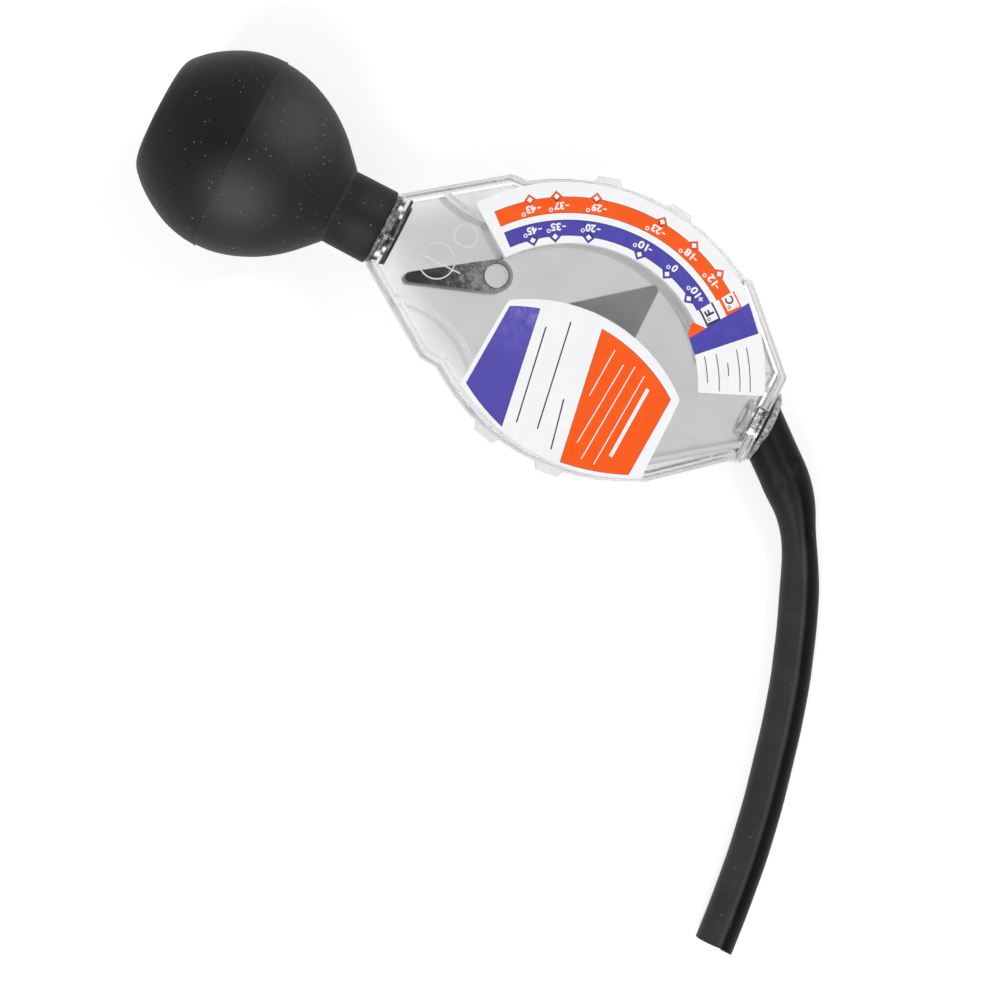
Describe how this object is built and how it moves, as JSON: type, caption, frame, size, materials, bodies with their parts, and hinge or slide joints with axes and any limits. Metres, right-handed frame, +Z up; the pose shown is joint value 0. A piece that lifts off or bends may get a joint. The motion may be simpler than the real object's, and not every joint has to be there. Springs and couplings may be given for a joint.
{
  "type": "antifreeze tester",
  "caption": "Clear oval fluid tester with a printed dial, swinging pointer, rubber squeeze bulb and open-ended suction hose.",
  "frame": {"origin": "on the table, under the middle of the box round the tester without its free hose", "axes": "+X along the tester from the bulb to the hose end, +Y to the side that carries the scale, +Z up from the table, with the dial facing up"},
  "size_m": [0.2274, 0.1646, 0.0508],
  "materials": {
    "clear_plastic": "clear, slightly grey, glossy",
    "bulb_rubber": "matt, with fine dust",
    "hose_rubber": "satin",
    "grey_plastic": "matt",
    "dark_plastic": "mottled, dark to mid grey",
    "brass": "turned",
    "steel": "bright",
    "printed_label": "white film with orange and blue print",
    "glue": "clear, lumpy"
  },
  "bodies": {
    "housing": {"front_shell": "clear_plastic", "back_shell": "clear_plastic", "squeeze_bulb": "bulb_rubber", "suction_hose": "hose_rubber", "hose_nipple": "clear_plastic", "pivot_pin": "steel", "stop_baffle": "dark_plastic", "scale_label": "printed_label", "centre_label": "printed_label", "bulb_glue_bead": "glue", "hose_glue_bead": "glue"},
    "pointer": {"pointer_vane": "grey_plastic", "pointer_weight": "brass"}
  },
  "joints": [
    {"name": "pointer_swing", "type": "hinge", "parent": "housing", "child": "pointer", "pos_m": [0.02941, -0.01586, 0.01472], "axis": [0.1077, 0, 0.9942], "range_deg": [-25, 59]}
  ]
}
